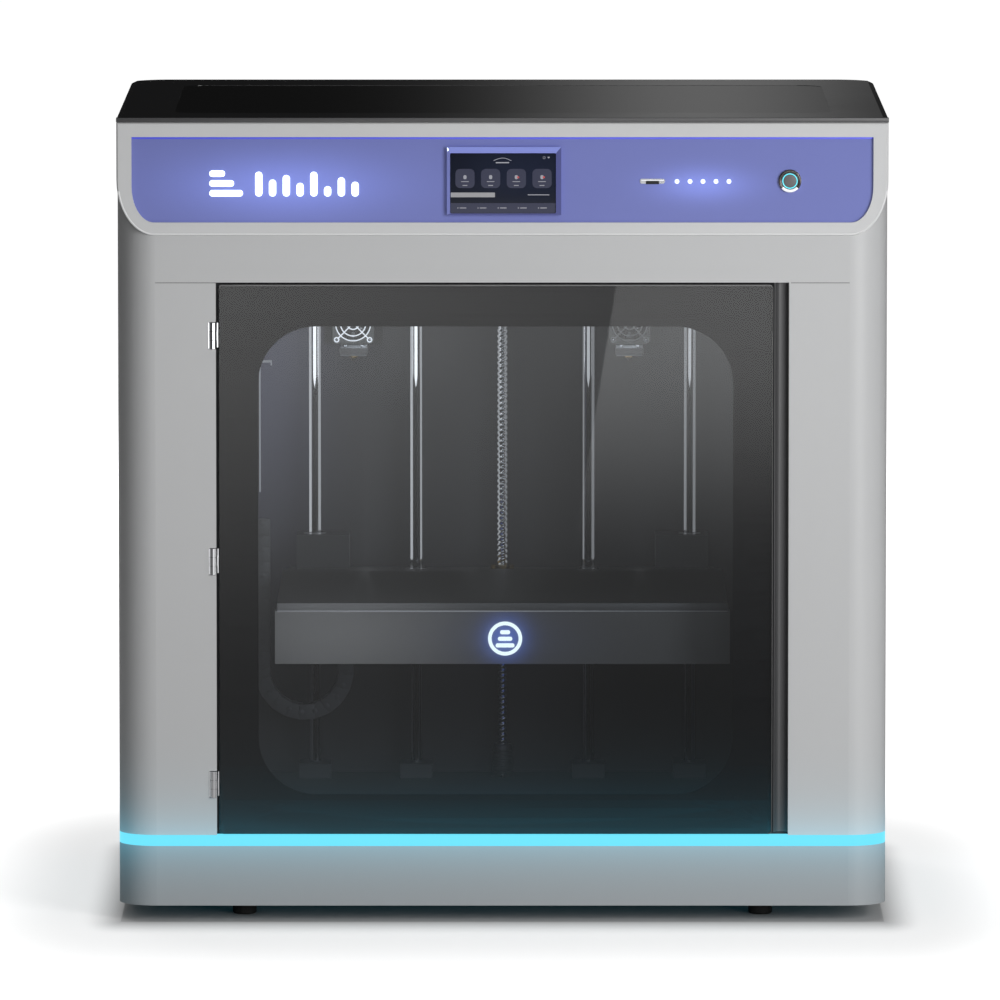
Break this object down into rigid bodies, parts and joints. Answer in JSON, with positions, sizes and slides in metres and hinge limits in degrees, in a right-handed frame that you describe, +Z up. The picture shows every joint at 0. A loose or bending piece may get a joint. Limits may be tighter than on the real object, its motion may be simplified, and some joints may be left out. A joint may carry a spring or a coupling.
{
  "type": "fdm printer",
  "caption": "Enclosed desktop filament printer: grey rounded case, glass door, smoked lid, blue control strip with screen, glowing base line, independent print heads over a lifting bed.",
  "frame": {"origin": "on the ground under the centre of the whole machine's bounding box, rear spool spindles included", "axes": "+X to the viewer's right when facing the door, +Y to the back, +Z up; the door and controls face -Y"},
  "size_m": [0.69, 0.575, 0.725],
  "materials": {
    "alu": "anodised aluminium",
    "base_paint": "fine satin powder coat, slightly darker grey",
    "belt": "ribbed belt",
    "black_gloss": "deep glossy black",
    "black_paint": "matt black sheet",
    "black_plastic": "textured black plastic",
    "blue_panel": "smooth blue-violet panel",
    "brass": "turned brass",
    "chrome": "bright plated steel",
    "door_clear": "lightly tinted clear sheet",
    "fascia_paint": "smooth satin moulding, pale grey",
    "glow": "lit cyan light guide",
    "grey_paint": "fine satin powder coat, pale grey",
    "rubber": "matt rubber",
    "screen": "dark display glass",
    "smoked": "smoked clear sheet",
    "steel": "ground steel",
    "white_glow": "lit white marks",
    "white_plastic": "white moulding"
  },
  "bodies": {
    "enclosure": {"base_pan": "base_paint", "led_light_guide": "glow", "feet": "rubber", "chamber_floor": "black_paint", "fascia_bezel": "fascia_paint", "side_panels": "grey_paint", "header_panel": "grey_paint", "rear_panel": "grey_paint", "control_panel": "blue_panel", "screen_frame": "black_gloss", "touchscreen": "screen", "panel_lights": "white_glow", "card_slot": "steel", "power_button_housing": "chrome", "door_hinge_body": "chrome", "finger_channel": "black_plastic", "inner_frame": "black_paint", "chamber_walls": "black_paint", "chamber_lights": "white_glow", "lid_hinge_fixed": "steel", "guide_rods": "chrome", "rod_clamps": "alu", "z_motor": "black_paint", "y_belts": "belt", "cable_chain": "black_plastic", "rear_fan": "black_plastic", "spool_spindles": "black_plastic", "power_inlet": "black_plastic", "power_supply": "steel", "panel_screws": "steel"},
    "door": {"door_glass": "door_clear", "door_mask": "black_gloss", "door_hinge_leaves": "chrome"},
    "lid": {"lid_frame": "black_gloss", "lid_window": "smoked", "lid_hinge_leaves": "steel"},
    "bed": {"bed_tray": "black_paint", "heater_plate": "alu", "build_plate": "door_clear", "bed_bridge": "alu", "linear_bearings": "steel", "z_nut": "brass", "bed_emblem": "white_glow"},
    "lift_screw": {"z_screw": "steel"},
    "gantry": {"x_beam": "alu", "y_carriages": "black_plastic", "x_drives": "black_paint"},
    "left_head": {"left_carriage": "black_plastic", "left_hotend": "alu", "left_fan": "white_plastic"},
    "right_head": {"right_carriage": "black_plastic", "right_hotend": "alu", "right_fan": "white_plastic"},
    "left_head_fan_rotor": {"left_fan_rotor": "black_plastic"},
    "right_head_fan_rotor": {"right_fan_rotor": "black_plastic"},
    "rear_exhaust_rotor": {"rear_fan_rotor": "black_plastic"},
    "start_button": {"power_button": "black_gloss"},
    "mains_rocker": {"rocker_switch": "black_gloss"}
  },
  "joints": [
    {"name": "door_swing", "type": "hinge", "parent": "enclosure", "child": "door", "pos_m": [-0.259, -0.284, 0.3262], "axis": [0, 0, -1], "range_deg": [0, 115]},
    {"name": "lid_lift", "type": "hinge", "parent": "enclosure", "child": "lid", "pos_m": [0, 0.2103, 0.716], "axis": [-1, 0, 0], "range_deg": [0, 80]},
    {"name": "bed_lift", "type": "slide", "parent": "enclosure", "child": "bed", "axis": [0, 0, 1], "range_m": [-0.1, 0.2], "deforming": ["cable_chain"]},
    {"name": "screw_turn", "type": "hinge", "parent": "enclosure", "child": "lift_screw", "pos_m": [0, 0.1165, 0.3], "axis": [0, 0, 1], "continuous": true},
    {"name": "gantry_travel", "type": "slide", "parent": "enclosure", "child": "gantry", "axis": [0, 1, 0], "range_m": [-0.135, 0.135]},
    {"name": "left_head_travel", "type": "slide", "parent": "gantry", "child": "left_head", "axis": [1, 0, 0], "range_m": [-0.06, 0.105]},
    {"name": "right_head_travel", "type": "slide", "parent": "gantry", "child": "right_head", "axis": [1, 0, 0], "range_m": [-0.085, 0.08]},
    {"name": "left_fan_spin", "type": "hinge", "parent": "left_head", "child": "left_head_fan_rotor", "pos_m": [-0.136, -0.084, 0.523], "axis": [0, 1, 0], "continuous": true},
    {"name": "right_fan_spin", "type": "hinge", "parent": "right_head", "child": "right_head_fan_rotor", "pos_m": [0.116, -0.084, 0.523], "axis": [0, 1, 0], "continuous": true},
    {"name": "rear_fan_spin", "type": "hinge", "parent": "enclosure", "child": "rear_exhaust_rotor", "pos_m": [0, 0.19, 0.56], "axis": [0, 1, 0], "continuous": true},
    {"name": "start_press", "type": "slide", "parent": "enclosure", "child": "start_button", "axis": [0, 1, 0], "range_m": [0, 0.0015], "stiffness_N_per_m": 400, "springref_m": -0.0008},
    {"name": "mains_tilt", "type": "hinge", "parent": "enclosure", "child": "mains_rocker", "pos_m": [-0.255, 0.2, 0.137], "axis": [1, 0, 0], "range_deg": [-7, 7]}
  ],
  "couplings": [
    {"joint": "screw_turn", "follows": "bed_lift", "rad_per_m": 628.3}
  ]
}
